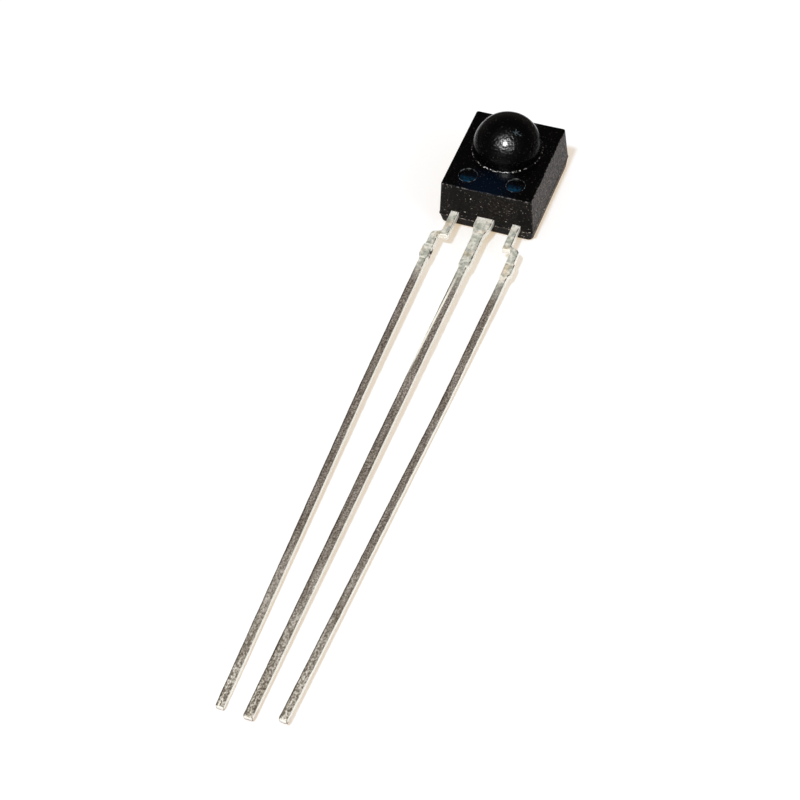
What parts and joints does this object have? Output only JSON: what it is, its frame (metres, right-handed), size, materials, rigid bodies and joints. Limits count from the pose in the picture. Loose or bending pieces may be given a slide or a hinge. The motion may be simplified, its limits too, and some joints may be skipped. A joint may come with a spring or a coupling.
{
  "type": "infrared receiver module",
  "caption": "Three-lead infrared remote-control receiver: black moulded package with a domed lens, integral lead frame with long stamped leads, photodiode and amplifier dies inside.",
  "frame": {"origin": "middle of the package's flat back face, which it lies on", "axes": "+Z out through the lens, +Y along the package away from the leads, +X across the leads towards the supply lead"},
  "size_m": [0.006, 0.0439, 0.0054],
  "materials": {
    "epoxy": "near-black visible-light-blocking moulding epoxy, glossy on the lens and front, matte on the sides",
    "tinned_lead": "dull matte tin plating over stamped steel strip",
    "silver_adhesive": "silver-filled die-attach adhesive",
    "photodiode_silicon": "polished silicon with a blue anti-reflective layer",
    "amplifier_silicon": "polished silicon",
    "gold_wire": "bright gold wire"
  },
  "bodies": {
    "root": {"package": "epoxy", "lead_output": "tinned_lead", "lead_ground": "tinned_lead", "lead_supply": "tinned_lead", "photodiode_attach": "silver_adhesive", "photodiode_die": "photodiode_silicon", "amplifier_attach": "silver_adhesive", "amplifier_die": "amplifier_silicon", "wire_output": "gold_wire", "wire_ground": "gold_wire", "wire_supply": "gold_wire", "wire_anode": "gold_wire", "wire_cathode": "gold_wire"}
  },
  "joints": []
}
